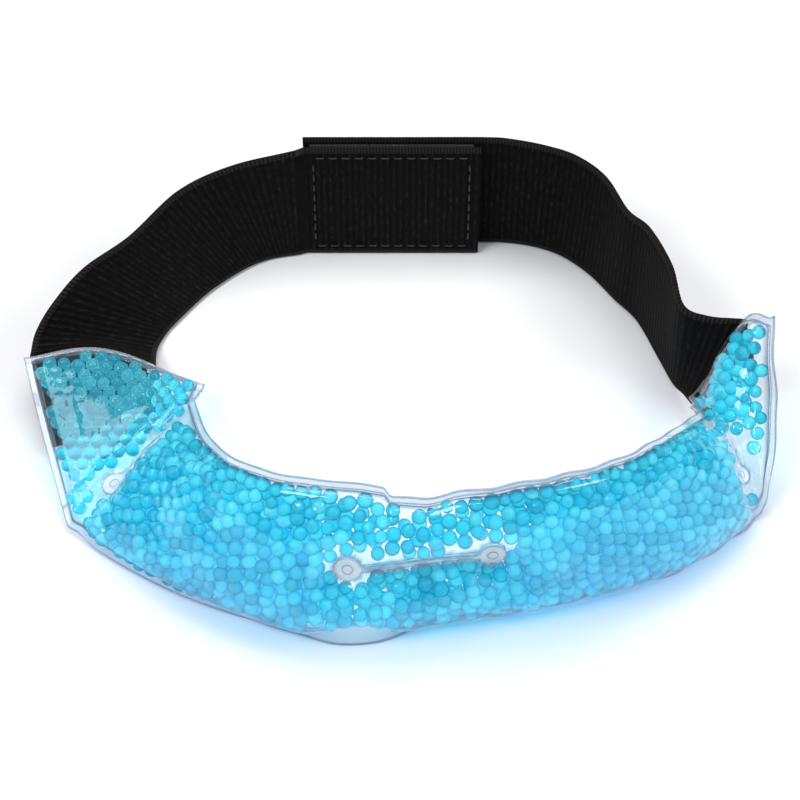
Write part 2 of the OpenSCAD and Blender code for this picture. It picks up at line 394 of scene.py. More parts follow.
def gel_material(name, clear, edge_clear, rim_tone_stops):
    """Hydrogel beads: clear cyan gel whose colour and clearness change toward each bead's edge as
    a painted rim tone, which stands in for the light a real bead's edge bends away.
    """
    n = Nodes(name)
    beads = n.value("bead")
    bright = n.ramp(beads, [(0.0, (0.028, 0.66, 0.79)), (0.5, (0.065, 0.79, 0.90)),
                            (1.0, (0.20, 0.91, 0.97))])
    painted_rim_colour = n.ramp(beads, rim_tone_stops)
    middle = n.add("BsdfPrincipled", Base_Color=bright, Roughness=0.02, IOR=1.36,
                   Transmission_Weight=clear)
    edge = n.add("BsdfPrincipled", Base_Color=painted_rim_colour, Roughness=0.04, IOR=1.36,
                 Transmission_Weight=edge_clear)
    # Painted rim tone: the more the surface faces away, the more of the rim colour it gets.
    facing_away = n.add("LayerWeight", Blend=0.35).outputs["Facing"]
    painted_rim_tone = n.math("POWER", facing_away, 1.6, clamp=True)
    shell = n.blend(painted_rim_tone, middle.outputs[0], edge.outputs[0])
    through = n.add("BsdfTransparent", Color=(0.72, 0.93, 0.98, 1))
    path = n.add("LightPath")
    return n.finish(n.blend(path.outputs["Is Shadow Ray"], shell, through.outputs[0]))


def edge_material():
    """The raised line that a welding bar leaves: clear vinyl half mixed with a grey-blue colour,
    painted shade for the light the ridge turns away.
    """
    n = Nodes("vinyl_ridge_painted_shade")
    flecks = n.noise(n.add("NewGeometry").outputs["Position"], 1500.0)
    # Painted shade: grey-blue for the ridge's refraction.
    colour = n.ramp(flecks, [(0.3, (0.30, 0.37, 0.44)), (0.7, (0.44, 0.51, 0.58))])
    solid = n.add("BsdfPrincipled", Base_Color=colour, Roughness=0.18)
    clear = n.add("BsdfTransparent", Color=(0.62, 0.72, 0.80, 1))
    return n.finish(n.blend(0.5, clear.outputs[0], solid.outputs[0]))


def webbing_material():
    """Black ribbed elastic, with painted highlight: lighter on its rib crests, and lighter and
    brownish on its selvedge ticks. The cloth place is metres along it, then metres across it.
    """
    n = Nodes("black_elastic")
    cloth, selvedge, rib = n.value("cloth", "Vector"), n.value("selvedge"), n.value("rib")
    along, across, _ = n.add("SeparateXYZ", Vector=cloth).outputs
    stretched = n.add("CombineXYZ", X=n.math("MULTIPLY", along, 1100.0),
                      Y=n.math("MULTIPLY", across, 380.0))
    dashes = n.noise(stretched.outputs[0], 1.0, roughness=0.6)
    fuzz = n.noise(cloth, 5200.0, 3.0, 0.7)
    # Painted highlight: the knit's dashes are lighter on the rib crests.
    light = n.math("MULTIPLY", dashes, n.scaled(rib, 0.6, 0.5))
    colour = n.ramp(light, [(0.22, (0.0012, 0.0011, 0.0011)), (0.55, (0.0050, 0.0047, 0.0048)),
                            (0.85, (0.022, 0.0205, 0.0212))])
    # Painted highlight: the selvedge turns lighter and brownish on its ticks' crests.
    edge = n.ramp(rib, [(0.0, (0.002, 0.0016, 0.0015)), (1.0, (0.030, 0.025, 0.022))])
    both = n.add("MixRGB", Fac=selvedge, Color1=colour, Color2=edge)
    height = n.math("ADD", n.math("MULTIPLY", dashes, 0.7), n.math("MULTIPLY", fuzz, 0.5))
    relief = n.add("Bump", Strength=0.9, Distance=0.00025, Height=height)
    rough = n.ramp(fuzz, [(0.3, (0.95, 0.95, 0.95)), (0.8, (0.62, 0.62, 0.62))])
    shader = n.add("BsdfPrincipled", Base_Color=both.outputs[0], Roughness=rough,
                   Specular_IOR_Level=0.10, Sheen_Weight=0.03, Sheen_Roughness=0.4,
                   Sheen_Tint=(0.35, 0.30, 0.28, 1), Normal=relief.outputs[0])
    return n.finish(shader.outputs[0])


def simple_material(name, dark, bright, scale, roughness, relief_depth, sheen=0.0):
    """A solid stuff whose colour and relief vary with fine noise."""
    n = Nodes(name)
    noise = n.noise(n.add("TexCoord").outputs["Object"], scale, 3.0, 0.6)
    colour = n.ramp(noise, [(0.3, dark), (0.7, bright)])
    rough = n.ramp(noise, [(0.3, (roughness,) * 3), (0.7, (roughness * 0.75,) * 3)])
    relief = n.add("Bump", Strength=0.8, Distance=relief_depth, Height=noise)
    shader = n.add("BsdfPrincipled", Base_Color=colour, Roughness=rough,
                   Sheen_Weight=sheen, Normal=relief.outputs[0])
    return n.finish(shader.outputs[0])


FILM = film_material()
# The last stops give the beads' painted rim tone: dark painted shade on these beads, and a paler,
# more opaque rim on the clear left-end beads.
GEL = gel_material("cyan_gel", 0.60, 0.30,
                   [(0.0, (0.001, 0.11, 0.16)), (1.0, (0.008, 0.25, 0.33))])
CLEAR_GEL = gel_material("clear_cyan_gel", 0.80, 0.30,
                         [(0.0, (0.05, 0.50, 0.66)), (1.0, (0.16, 0.74, 0.88))])
RIDGE = edge_material()
WEBBING = webbing_material()
HOOK = simple_material("black_nylon_hook", (0.006, 0.006, 0.007), (0.02, 0.02, 0.022),
                       2500.0, 0.45, 0.00004)
PILE = simple_material("black_loop_pile", (0.004, 0.004, 0.004), (0.03, 0.029, 0.03),
                       3000.0, 0.9, 0.0002, sheen=0.3)
THREAD = simple_material("dark_thread", (0.005, 0.0045, 0.004), (0.020, 0.018, 0.017),
                         6000.0, 0.7, 0.00006, sheen=0.2)
WHITE_THREAD = simple_material("pale_thread", (0.55, 0.54, 0.52), (0.85, 0.84, 0.82),
                               6000.0, 0.6, 0.00006, sheen=0.2)

# ---- the pouch's surface ---------------------------------------------------------------
# A place q runs along the whole pouch: the left end chamber is 0 to 2, its fold 2 to 3,
# the main chamber 3 to 14, the right fold 14 to 15 and the right end chamber 15 to 17.

Q_LEFT = 2
Q_MAIN = 3
MAIN_LAST = 11
Q_RIGHT = 15
Q_LEFT_FOLD = 2.5
Q_RIGHT_FOLD = 14.5
Q_NEAR_ENDS = (2.2, 14.8)
Q_END = 17.0
POUCH_W = 50 * MM
STATION_L = 26 * MM
LEFT_BOW = 14 * MM
RIGHT_BOW = 12 * MM
LEFT_SKEW = 1.3
RIGHT_SKEW = 0.8
RIGHT_CORNER = 2.2
FILM_T = 0.38 * MM
FILM_CLEAR = 0.02 * MM
RIM = 2.1 * MM
FLAP = 5.0 * MM
FLAP_Q = 8.0
FLAP_HALF_Q = 0.75
DIP = 2.3 * MM
DIP_STEP = (8.33, 8.44)
DIP_RISE = (8.85, 9.35)


def left_bow(v):
    """How far the left end's cut edge bows out, in stations."""
    return LEFT_BOW / STATION_L * np.sin(math.pi * v**LEFT_SKEW)


def right_bow(v):
    """The same for the right end."""
    round_bow = np.maximum(np.sin(math.pi * v**RIGHT_SKEW), 0)
    return RIGHT_BOW / STATION_L * round_bow**RIGHT_CORNER


def left_place(t, v):
    return t - left_bow(v) * np.clip(1 - t, 0, 1)


def right_place(t, v):
    return t + right_bow(v) * np.clip(t - 1, 0, 1)


def plain_pouch(q, v):
    """The pouch's middle surface before its centre weld draws it forward."""
    left_t = left_place(np.minimum(q, Q_LEFT), v)
    main_t = np.clip(q - Q_MAIN, 0, MAIN_LAST)
    right_t = right_place(np.maximum(q - Q_RIGHT, 0), v)
    first = np.clip(q - Q_LEFT, 0, 1)[..., None]
    second = np.clip(q - Q_MAIN - MAIN_LAST, 0, 1)[..., None]
    places = mix(band(LEFT_END, left_t, v), band(MAIN, main_t, v), first)
    places = mix(places, band(RIGHT_END, right_t, v), second)
    ways = mix(facing(LEFT_END, left_t, v), facing(MAIN, main_t, v), first)
    ways = mix(ways, facing(RIGHT_END, right_t, v), second)
    return places, unit(ways)


# Length along the pouch's middle line, and its width, at each place.
Q_TABLE = np.linspace(0, Q_END, 1701)
MIDDLE = plain_pouch(Q_TABLE, np.full_like(Q_TABLE, 0.5))[0]
LENGTHS = run_along(MIDDLE)
LOWER_RIM = plain_pouch(Q_TABLE, np.zeros_like(Q_TABLE))[0]
UPPER_RIM = plain_pouch(Q_TABLE, np.ones_like(Q_TABLE))[0]
WIDTHS = np.linalg.norm(UPPER_RIM - LOWER_RIM, axis=1)


def length_at(q):
    return np.interp(q, Q_TABLE, LENGTHS)


def width_at(q):
    return np.interp(q, Q_TABLE, WIDTHS)


# The three welds: two round pads joined by a neck. Places are (q, v) on the pouch.
WELDS = [
    {"pads": [(2.38, 0.345), (2.98, 0.655)], "radii": (3.5 * MM, 2.4 * MM), "neck": 0.9 * MM},
    {"pads": [(7.89, 0.53), (9.63, 0.575)], "radii": (3.6 * MM, 3.4 * MM), "neck": 0.8 * MM},
    {"pads": [(14.54, 0.335), (15.15, 0.575)], "radii": (2.6 * MM, 1.2 * MM), "neck": 1.0 * MM},
]
WELD_LIFT = 3.5 * MM
LIFT_REACH = 11 * MM


def off_line(points, line):
    """Distance from each point to the nearest part of a line of points."""
    flat = points.reshape(-1, points.shape[-1])
    best = np.full(len(flat), 1.0)
    for a, b in zip(line[:-1], line[1:]):
        edge = b - a
        share = np.clip((flat - a) @ edge / (edge @ edge), 0, 1)
        best = np.minimum(best, np.linalg.norm(flat - a - share[:, None] * edge, axis=1))
    return best.reshape(points.shape[:-1])


def pouch(q, v):
    """Middle surface of the pouch and its outward direction at place q and share v."""
    places, ways = plain_pouch(q, v)
    flat = np.stack([length_at(q), v * width_at(q)], axis=-1)
    pads = np.array(WELDS[1]["pads"])
    line = np.stack([length_at(pads[:, 0]), pads[:, 1] * width_at(pads[:, 0])], axis=-1)
    lift = WELD_LIFT * np.exp(-(off_line(flat, line) / LIFT_REACH) ** 2)
    return places + ways * lift[..., None], ways


def at(q, v):
    return pouch(np.array([q], float), np.array([v], float))[0][0]


V_CUTS = np.linspace(0, 1, 41)
LEFT_CUT = pouch(np.zeros(41), V_CUTS)[0]
RIGHT_CUT = pouch(np.full(41, Q_END), V_CUTS)[0]


def off_weld(points, weld):
    """Distance from a weld's outline, below 0 on the weld."""
    pads = [at(*place) for place in weld["pads"]]
    best = off_line(points, np.array(pads)) - weld["neck"]
    for pad, radius in zip(pads, weld["radii"]):
        best = np.minimum(best, np.linalg.norm(points - pad, axis=-1) - radius)
    return best


def dip(q):
    """How far the top edge steps in over the nose."""
    return DIP * ease(q, *DIP_STEP) * (1 - ease(q, *DIP_RISE))


def near_ends(q):
    """Which places are in or near the left end chamber, and the right one."""
    return q < Q_NEAR_ENDS[0], q > Q_NEAR_ENDS[1]


def off_rim(q, v, points):
    """Distance inside the pouch's outline, less the width of its sealed rim."""
    width = width_at(q)
    low = v * width - RIM - FLAP * bump(q, FLAP_Q, FLAP_HALF_Q)
    high = (1 - v) * width - RIM - dip(q)
    inside = np.minimum(low, high)
    for end, cut in zip(near_ends(q), (LEFT_CUT, RIGHT_CUT)):
        if end.any():
            inside[end] = np.minimum(inside[end], off_line(points[end], cut) - RIM)
    return inside, low, high


def waves(s, w, seed, count, shortest, longest):
    """Smooth random height from -1 to 1 over metres along and across."""
    draw = np.random.default_rng(seed)
    total = np.zeros_like(s)
    for _ in range(count):
        length = draw.uniform(shortest, longest)
        turn = draw.uniform(0, math.pi)
        phase = draw.uniform(0, 2 * math.pi)
        run = s * math.cos(turn) + w * math.sin(turn)
        total += np.sin(2 * math.pi * run / length + phase)
    return total / math.sqrt(count)


FRONT_BULGE = {"left": 4.4 * MM, "main": 8.5 * MM, "right": 6.0 * MM}
BACK_BULGE = {"left": 1.6 * MM, "main": 6.5 * MM, "right": 2.2 * MM}
ONE_LAYER = 4.9 * MM
SEAL_SLOPE = 2.6 * MM
# How much of the bulge is left: at the folds, in the beads' layer there, and at the main
# chamber's ends. Then the exponents that shape it, and how much of it the waves change.
FOLD_LEFT = 0.35
CREASE_LEFT = 0.55
MAIN_ENDS_LEFT = 0.72
MAIN_ROUND = 0.35
LEAN = 0.85
ARCH = 0.6
WAVE_SHARE = 0.05
FOLD_REACH = 11 * MM
FOLD_CREASE = 3 * MM
END_REACH = 9 * MM
WELD_REACH = 13 * MM
WELD_EASE = 12 * MM


def at_chamber(sizes, q, swell):
    """The size for the chamber that each place is in, swollen in the main one."""
    main = np.where(q > Q_RIGHT_FOLD, sizes["right"], sizes["main"] * swell)
    return np.where(q < Q_LEFT_FOLD, sizes["left"], main)


def bulges(q, v, points):
    """How far the front sheet and the back sheet stand off the middle surface."""
    inside, low, high = off_rim(q, v, points)
    span = np.maximum(low + high, 1e-6)
    share = np.clip(low / span, 0, 1) ** LEAN
    arch = np.maximum(4 * share * (1 - share), 0) ** ARCH
    along = np.clip((q - Q_MAIN) / MAIN_LAST, 0, 1)
    swell = mix(MAIN_ENDS_LEFT, 1, np.sin(math.pi * along) ** MAIN_ROUND)
    s, w = length_at(q), v * width_at(q)
    off_fold = np.min([np.abs(s - length_at(one)) for one in (Q_LEFT_FOLD, Q_RIGHT_FOLD)], axis=0)
    fold = mix(FOLD_LEFT, 1, shoulder(off_fold / FOLD_REACH))
    ends = np.ones_like(q)
    for end in near_ends(q):
        ends = np.where(end, shoulder(inside / END_REACH), ends)
    off = np.min([off_weld(points, one) for one in WELDS], axis=0)
    weld = mix(shoulder(off / WELD_REACH), ease(off, 0, WELD_EASE), 0.45)
    weld = np.where(off <= 0, 0, weld)
    shape = np.where(inside <= 0, 0, arch * fold * ends * weld)
    calm = ease(inside, 0, 8 * MM) * ease(weld, 0.2, 0.9)
    shape = shape * (1 + WAVE_SHARE * calm * waves(s, w, 3, 9, 16 * MM, 40 * MM))
    front, back = at_chamber(FRONT_BULGE, q, swell), at_chamber(BACK_BULGE, q, swell)
    # One layer of beads reaches almost to the seals, so the sheets part steeply there.
    crease = mix(CREASE_LEFT, 1, shoulder(off_fold / FOLD_CREASE))
    least = ONE_LAYER * crease * shoulder(np.minimum(inside, off - 1.5 * MM) / SEAL_SLOPE)
    part = front / (front + back)
    return np.maximum(front * shape, least * part), np.maximum(back * shape, least * (1 - part))


# ---- gel beads -------------------------------------------------------------------------

# The film of an end chamber is a piece of its own from this far past its fold.
JOIN = 4.5 * MM
Q_LEFT_JOIN = Q_LEFT - JOIN / STATION_L
Q_RIGHT_JOIN = Q_RIGHT + JOIN / STATION_L


def turn_with(piece):
    """Bakes a piece's placing into its points."""
    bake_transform(piece)


BEAD_R = 1.88 * MM
BEAD_VARIES = 0.096 * MM
BEAD_R_RANGE = (1.5 * MM, 2.2 * MM)
START_SLACK = -0.6 * MM
START_MARGIN = 1.2 * MM
KEPT_SLACK = -0.25 * MM
BEAD_SHARES = (0.03, 0.97)
LAYERS = 5
STEP = 1e-3


def tangents(q, v):
    """How the middle surface moves per unit of q and of v, and its outward direction."""
    here, way = pouch(q, v)
    by_q = (pouch(q + STEP, v)[0] - here) / STEP
    by_v = (pouch(q, np.minimum(v + STEP, 1))[0] - here) / STEP
    return here, way, by_q, by_v


def room(q, v, radius):
    """The lowest and highest that a bead's middle may be above the middle surface."""
    here, _ = pouch(q, v)
    front, back = bulges(q, v, here)
    return -back + radius + FILM_T, front - radius - FILM_T


def in_places(move, by_q, by_v):
    """How far q and v change when a point moves along the surface."""
    aa, bb, ab = (np.sum(x * y, axis=1) for x, y in
                  ((by_q, by_q), (by_v, by_v), (by_q, by_v)))
    fa, fb = np.sum(move * by_q, axis=1), np.sum(move * by_v, axis=1)
    whole = np.maximum(aa * bb - ab**2, 1e-18)
    return (fa * bb - fb * ab) / whole, (fb * aa - fa * ab) / whole


def close_pairs(places, reach):
    """Index pairs of places nearer than reach to each other."""
    first, second = [], []
    for start in range(0, len(places), 400):
        block = places[start:start + 400]
        gaps = np.linalg.norm(block[:, None] - places[None], axis=2)
        i, j = np.nonzero(gaps < reach)
        i = i + start
        keep = i < j
        first.append(i[keep])
        second.append(j[keep])
    return np.concatenate(first), np.concatenate(second)


def start_places(q_from, q_to, pitch, draw, loose):
    """Rows and layers of places that fill a stretch of the pouch, a pitch apart."""
    found = []
    s_from, s_to = length_at(q_from), length_at(q_to)
    rows = int((s_to - s_from) / pitch) + 1
    for i in range(rows):
        q = np.interp(s_from + (i + 0.5) * pitch, LENGTHS, Q_TABLE)
        width = float(width_at(q))
        count = int(width / (pitch * 0.98))
        for k in range(LAYERS):
            for j in range(count):
                across = (j + 0.5 + 0.5 * ((i + k) % 2)) * width / count
                found.append((q, across / width, -6 * MM + (k + 0.5) * pitch * 0.84))
    found = np.array(found)
    found[:, 0] += draw.normal(0, 0.02 * loose, len(found))
    found[:, 1] = np.clip(found[:, 1] + draw.normal(0, 0.01 * loose, len(found)), *BEAD_SHARES)
    found[:, 2] += draw.normal(0, 0.3 * MM * loose, len(found))
    return found


def lattice_places(q_from, q_to, pitch, layers, draw, loose):
    """A hexagonal lattice of places over a fan-shaped end chamber."""
    probe_q, probe_v = np.linspace(q_from, q_to, 241), np.linspace(0.01, 0.99, 121)
    q, v = np.meshgrid(probe_q, probe_v, indexing="ij")
    places, ways = pouch(q, v)
    flat = places.reshape(-1, 3)
    middle, way = flat.mean(0), unit(ways.reshape(-1, 3).mean(0))
    along = unit(np.cross(way, (0.0, 1.0, 0.0)))
    across = np.cross(way, along)
    x, y = (flat - middle) @ along, (flat - middle) @ across
    found = []
    for k, height in enumerate(layers):
        for row, row_y in enumerate(np.arange(y.min(), y.max(), pitch * 0.87)):
            shift = 0.5 * ((row + k) % 2)
            for column_x in np.arange(x.min() + shift * pitch, x.max(), pitch):
                near = np.hypot(x - column_x, y - row_y)
                best = int(near.argmin())
                if near[best] < 0.5 * MM:
                    found.append((q.ravel()[best], v.ravel()[best], height))
    found = np.array(found)
    found[:, 2] += draw.normal(0, 0.3 * MM * loose, len(found))
    return found


def settled(found, radius, q_from, q_to):
    """Beads pushed apart until they only touch, and kept between the two sheets."""
    q, v, h = found.T.copy()
    probe = 4 * STEP
    for turn in range(ROUNDS):
        here, way, by_q, by_v = tangents(q, v)
        places = here + way * h[:, None]
        if turn % 6 == 0:
            first, second = close_pairs(places, 2.6 * BEAD_R)
        gap = places[first] - places[second]
        apart = np.linalg.norm(gap, axis=1)
        over = np.maximum(radius[first] + radius[second] - apart, 0) * 0.5
        push = gap / np.maximum(apart, 1e-9)[:, None] * over[:, None]
        move = np.zeros_like(places)
        np.add.at(move, first, push)
        np.add.at(move, second, -push)
        low, high = room(q, v, radius)
        slack = high - low
        tight = slack < 0.1 * MM
        slope = np.zeros_like(places)
        for q_on, v_on, way_on in ((probe, 0, by_q), (0, probe, by_v)):
            wide_low, wide_high = room(q + q_on, v + v_on, radius)
            grow = ((wide_high - wide_low) - slack) / probe
            slope += way_on * (grow / np.sum(way_on**2, 1))[:, None]
        steep = np.linalg.norm(slope, axis=1, keepdims=True)
        move += np.where(tight[:, None], slope / np.maximum(steep, 1e-9) * 0.35 * MM, 0)
        h = h + np.sum(move * way, axis=1) + np.sign(h) * OUTWARD
        flat = move - way * np.sum(move * way, axis=1)[:, None]
        on_q, on_v = in_places(flat, by_q, by_v)
        q = np.clip(q + on_q, q_from, q_to)
        v = np.clip(v + on_v, *BEAD_SHARES)
        low, high = room(q, v, radius)
        h = np.where(high > low, np.clip(h, low, high), (low + high) / 2)
    low, high = room(q, v, radius)
    here, way = pouch(q, v)
    places = here + way * h[:, None]
    keep = high - low > KEPT_SLACK
    first, second = close_pairs(places, 1.4 * BEAD_R)
    for i, j in zip(first, second):
        if keep[i] and keep[j]:
            keep[j] = False
    return q[keep], v[keep], h[keep], places[keep], radius[keep]


ROUNDS = 26
OUTWARD = 0.03 * MM


def chamber_beads(seed, q_from, q_to, pitch, loose, layers=None):
    """A chamber's settled beads: their q, v and height, their places and their radii."""
    draw = np.random.default_rng(seed)
    if layers:
        found = lattice_places(q_from, q_to, pitch, layers, draw, loose)
    else:
        found = start_places(q_from, q_to, pitch, draw, loose)
    radius = draw.normal(BEAD_R, BEAD_VARIES, len(found)).clip(*BEAD_R_RANGE)
    low, high = room(found[:, 0], found[:, 1], radius)
    height = found[:, 2]
    fits = high - low > START_SLACK
    fits &= (height > low - START_MARGIN) & (height < high + START_MARGIN)
    return settled(found[fits], radius[fits], q_from, q_to)


MOST_BEADS = 560


def bead_pieces(name, body, beads, node, seed, gel):
    """Every bead as a slightly uneven ball, in pieces of up to MOST_BEADS."""
    _, _, _, places, radius = beads
    draw = np.random.default_rng(seed)
    shape, faces = ball(10, 16)
    order = np.argsort(places[:, 0])
    groups = math.ceil(len(order) / MOST_BEADS)
    for g, chosen in enumerate(np.array_split(order, groups)):
        points, tones = [], []
        for i in chosen:
            squeeze = draw.normal(1, 0.035, 3)
            turned, _ = np.linalg.qr(draw.normal(0, 1, (3, 3)))
            points.append((shape * squeeze) @ turned * radius[i] + places[i])
            tones.append(np.full(len(shape), draw.uniform()))
        all_faces = np.vstack([faces + k * len(shape) for k in range(len(chosen))])
        title = name if groups == 1 else f"{name}_{g + 1}"
        piece = mesh_object(title, np.vstack(points), all_faces, gel)
        store(piece, "bead", np.concatenate(tones))
        if body == "pouch":
            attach(piece, body)
        else:
            turn_with(piece)
        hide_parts(node)


BEADS = {
    "left": chamber_beads(11, 0.02, 2.4, 3.85 * MM, 0.3, layers=(0.8 * MM,)),
    "main": chamber_beads(12, 2.6, 14.4, 3.75 * MM, 1.0),
    "right": chamber_beads(13, 14.6, 16.98, 3.8 * MM, 0.8, layers=(-0.2 * MM, 3.2 * MM)),
}
bead_pieces("left_gel_beads_all", "left_end", BEADS["left"], "left_gel_beads", 21, CLEAR_GEL)
bead_pieces("gel_beads_all", "pouch", BEADS["main"], "gel_beads", 22, GEL)
bead_pieces("right_gel_beads_all", "right_end", BEADS["right"], "right_gel_beads", 23, GEL)

# ---- film sheets -----------------------------------------------------------------------

ROW_PITCH = 0.62 * MM
FINE = 0.3 * MM
FINE_RIM = 3.3 * MM
FINE_FLAP = 8.4 * MM


def spaced(length, fine_low, fine_high):
    """Distances from 0 to length, a pitch apart, and closer over each fine stretch."""
    low = np.arange(0, fine_low + FINE / 2, FINE)
    high = length - np.arange(0, fine_high + FINE / 2, FINE)[::-1]
    count = max(2, int((high[0] - low[-1]) / ROW_PITCH))
    middle = np.linspace(low[-1], high[0], count + 1)[1:-1]
    return np.concatenate([low, middle, high])


def film_grid(q_from, q_to):
    """Places of a sheet's points, with every column parallel to an edge near that edge."""
    s_from, s_to = length_at(q_from), length_at(q_to)
    at_left, at_right = q_from <= 0, q_to >= Q_END
    steps = spaced(s_to - s_from, FINE_RIM * at_left, FINE_RIM * at_right)
    rows = np.interp(s_from + steps, LENGTHS, Q_TABLE)
    low_rim = FINE_RIM if at_left or at_right else FINE_FLAP
    cols = spaced(POUCH_W, low_rim, FINE_RIM)
    q = np.repeat(rows[:, None], len(cols), axis=1)
    width = width_at(q)
    from_low = cols / width
    from_high = 1 - (POUCH_W - cols + dip(q)) / width
    blend = np.clip((cols - low_rim) / (POUCH_W - low_rim - FINE_RIM), 0, 1)
    return q, mix(from_low, from_high, blend)


# Half widths of the raised lines along the seal, a weld and the sheet's edge.
SEAM_HALF = 0.22 * MM
WELD_HALF = 0.20 * MM
EDGE_HALF = 0.15 * MM
LINE_H = 0.16 * MM
CREASE_H = 0.30 * MM
CREASES = 5
CREASE_HALF = 0.8 * MM
RUFFLE_H = 0.5 * MM
RUFFLE_REACH = 5 * MM
BEAD_DENT = {"left": 0.06 * MM, "main": 0.26 * MM, "right": 0.26 * MM}
DENT_R = 1.7 * MM


def bead_relief(places, q, v, side):
    """How the sheet stands up over the beads that touch it."""
    relief = np.zeros(q.shape)
    rows, cols = q[:, 0], v[0]
    for name, (bq, bv, bh, _, radius) in BEADS.items():
        low, high = room(bq, bv, radius)
        gap = high - bh if side > 0 else bh - low
        under, _ = pouch(bq, bv)
        for i in np.nonzero(gap < 1.6 * MM)[0]:
            r0, r1 = np.searchsorted(rows, (bq[i] - 0.25, bq[i] + 0.25))
            c0, c1 = np.searchsorted(cols, (bv[i] - 0.08, bv[i] + 0.08))
            if r0 >= r1 or c0 >= c1:
                continue
            patch = places[r0:r1, c0:c1]
            away = np.linalg.norm(patch - under[i], axis=-1)
            dent = max(BEAD_DENT[name] - 0.3 * max(gap[i], 0), 0)
            height = dent * np.exp(-(away / DENT_R) ** 2)
            relief[r0:r1, c0:c1] = np.maximum(relief[r0:r1, c0:c1], height)
    return relief


def creases(places, inside):
    """Sharp small folds that run out from the welds' pads."""
    total = np.zeros(places.shape[:-1])
    draw = np.random.default_rng(5)
    for weld in WELDS:
        for place, radius in zip(weld["pads"], weld["radii"]):
            pad = at(*place)
            _, way = pouch(np.array([place[0]]), np.array([place[1]]))
            side = unit(np.cross(way[0], (0.0, 0.0, 1.0)))
            other = np.cross(way[0], side)
            away = places - pad
            turn = np.arctan2(away @ other, away @ side)
            far = np.linalg.norm(away, axis=-1)
            for _ in range(CREASES):
                at_turn = draw.uniform(-math.pi, math.pi)
                off = np.abs((turn - at_turn + math.pi) % (2 * math.pi) - math.pi)
                line = np.exp(-(off * far / CREASE_HALF) ** 2)
                reach = draw.uniform(9, 17) * MM
                total += line * ease(far, radius, radius + 2 * MM) * ease(1 - far / reach)
    return total * ease(inside, 0, 4 * MM)


def ruffles(q, outline):
    """How the sealed rim waves in and out."""
    wave = waves(length_at(q), np.zeros_like(q), 8, 6, 9 * MM, 24 * MM)
    return RUFFLE_H * wave * ease(1 - outline / RUFFLE_REACH)


def film_sheet(name, q_from, q_to, side):
    """One sheet of film between two places, on the front (side 1) or the back (-1)."""
    q, v = film_grid(q_from, q_to)
    middle, way = pouch(q, v)
    front, back = bulges(q, v, middle)
    inside, _, _ = off_rim(q, v, middle)
    outline = np.minimum(v * width_at(q), (1 - v) * width_at(q) - dip(q))
    for end in near_ends(q):
        outline = np.where(end, np.minimum(outline, inside + RIM), outline)
    off = np.min([off_weld(middle, weld) for weld in WELDS], axis=0)
    filled = ease(inside, 0, 3 * MM) * ease(off, 0, 3 * MM)
    height = (front if side > 0 else back) + bead_relief(middle, q, v, side) * filled
    height = height + CREASE_H * creases(middle, inside) * filled
    lines = np.maximum(np.exp(-(inside / SEAM_HALF) ** 2), np.exp(-(off / WELD_HALF) ** 2))
    rim_line = np.exp(-(np.maximum(outline, 0) / EDGE_HALF) ** 2)
    height = height + LINE_H * lines
    ruffle = ruffles(q, outline)
    inner = middle + way * (side * (height + FILM_CLEAR) + ruffle)[..., None]
    outer = middle + way * (side * (height + FILM_CLEAR + FILM_T) + ruffle)[..., None]
    under, over = (inner, outer) if side > 0 else (outer, inner)
    piece = mesh_object(name, np.stack([under, over]), slab_faces(*q.shape), FILM)
    # Where the film gets its grey-blue painted shade: the cut edge, the seals and the weld
    # outlines.
    seal = np.maximum(rim_line, lines * 0.8)
    haze = np.maximum(ease(-off, -0.4 * MM, 0.6 * MM), 0.35 * ease(-inside, 0, 0.4 * MM))
    store(piece, "seal", np.stack([seal, seal]))
    store(piece, "haze", np.stack([haze, haze]))
    return piece


for label, side in (("front", 1), ("back", -1)):
    sheet = film_sheet(f"{label}_film_main", Q_LEFT_JOIN, Q_RIGHT_JOIN, side)
    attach(sheet, "pouch")
    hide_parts(f"{label}_film")
    for end, q_from, q_to in (("left", 0.0, Q_LEFT_JOIN), ("right", Q_RIGHT_JOIN, Q_END)):
        sheet = film_sheet(f"{end}_{label}_film_end", q_from, q_to, side)
        turn_with(sheet)
        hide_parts(f"{end}_{label}_film")

# ---- ridges: the inner seal, the welds' outlines and the ring on each pad --------------

RIDGE_R = 0.12 * MM
RIDGE_PITCH = 0.5 * MM
RING_SHARE = 0.38
ON_FILM = FILM_CLEAR + FILM_T
# So far inside the outline, in metres, that the rim's ruffles have died away.
NO_RUFFLE = 1.0


def nearest(points, q, v):
    """Places on the pouch nearest to the points, from a first guess."""
    for _ in range(8):
        here, _, by_q, by_v = tangents(q, v)
        on_q, on_v = in_places(points - here, by_q, by_v)
        q = np.clip(q + on_q, 0, Q_END)
        v = np.clip(v + on_v, 0, 1)
    return q, v


def resampled(path, pitch):
    """The same line with its points a pitch apart."""
    run = run_along(path)
    steps = np.linspace(0, run[-1], max(3, int(run[-1] / pitch)))
    return np.stack([np.interp(steps, run, path[:, k]) for k in range(3)], axis=1)


